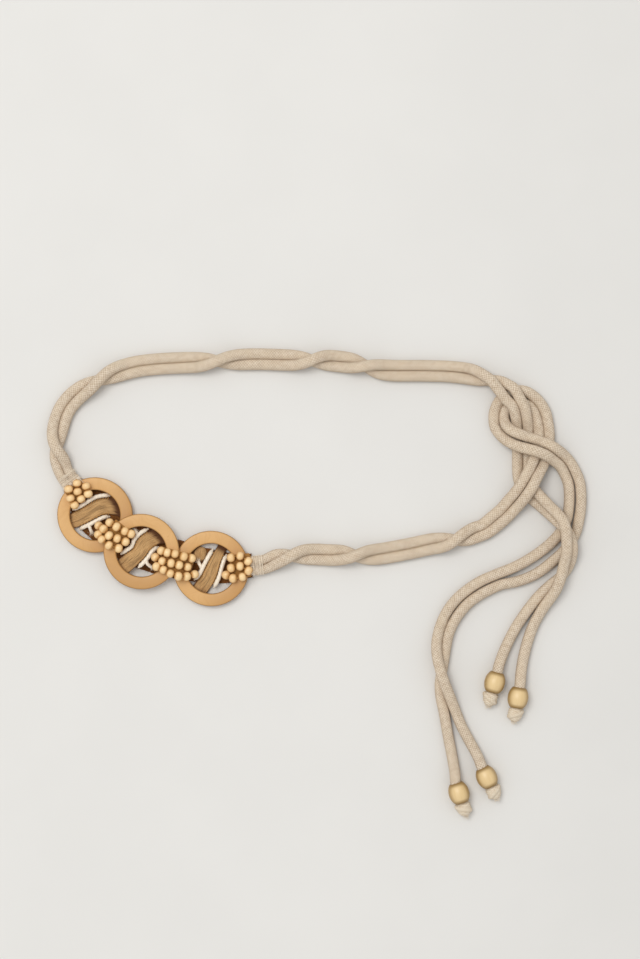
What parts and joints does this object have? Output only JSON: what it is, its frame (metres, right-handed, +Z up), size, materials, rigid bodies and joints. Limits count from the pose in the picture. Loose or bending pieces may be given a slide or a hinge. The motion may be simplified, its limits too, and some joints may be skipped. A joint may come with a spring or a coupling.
{
  "type": "wrap belt",
  "caption": "Wrap belt with a buckle of overlapping wooden rings bound with bead strings, and twisted cotton ropes knotted together with beaded tails.",
  "frame": {"origin": "on the surface that the belt lies on, under the middle of the buckle", "axes": "+X along the buckle from its left ring to its right ring, +Z up from the surface"},
  "size_m": [0.4188, 0.3631, 0.0238],
  "materials": {
    "ring_wood": "smooth waxed blond wood with fine grain",
    "backing_suede": "dark brown suede",
    "binding_thread": "dark brown wound thread",
    "bead_wood": "satin pale wooden beads",
    "strap_suede": "taupe suede with lengthwise streaks",
    "edge_cord": "cream waxed cotton cord",
    "whipping_thread": "off-white fuzzy thread",
    "rope_cotton": "beige braided cotton",
    "end_bead_wood": "satin pale wood"
  },
  "bodies": {
    "root": {"backing": "backing_suede", "ring_1": "ring_wood", "ring_2": "ring_wood", "ring_3": "ring_wood", "binding_1": "binding_thread", "binding_2": "binding_thread", "binding_3": "binding_thread", "binding_4": "binding_thread", "strand_1_a": "bead_wood", "strand_1_b": "bead_wood", "strand_1_c": "bead_wood", "strand_2_a": "bead_wood", "strand_2_b": "bead_wood", "strand_2_c": "bead_wood", "strand_3_a": "bead_wood", "strand_3_b": "bead_wood", "strand_3_c": "bead_wood", "strand_4_a": "bead_wood", "strand_4_b": "bead_wood", "strand_4_c": "bead_wood", "strap_turn_1": "strap_suede", "strap_turn_2": "strap_suede", "strap_turn_3": "strap_suede", "edge_cord_1_upper": "edge_cord", "edge_cord_1_lower": "edge_cord", "edge_cord_2_upper": "edge_cord", "edge_cord_2_lower": "edge_cord", "edge_cord_3_upper": "edge_cord", "edge_cord_3_lower": "edge_cord", "whipping_left": "whipping_thread", "whipping_right": "whipping_thread", "rope_left_a": "rope_cotton", "rope_left_b": "rope_cotton", "rope_right_a": "rope_cotton", "rope_right_b": "rope_cotton", "end_bead_1": "end_bead_wood", "end_bead_2": "end_bead_wood", "end_bead_3": "end_bead_wood", "end_bead_4": "end_bead_wood", "end_knot_1": "rope_cotton", "end_knot_2": "rope_cotton", "end_knot_3": "rope_cotton", "end_knot_4": "rope_cotton"}
  },
  "joints": []
}
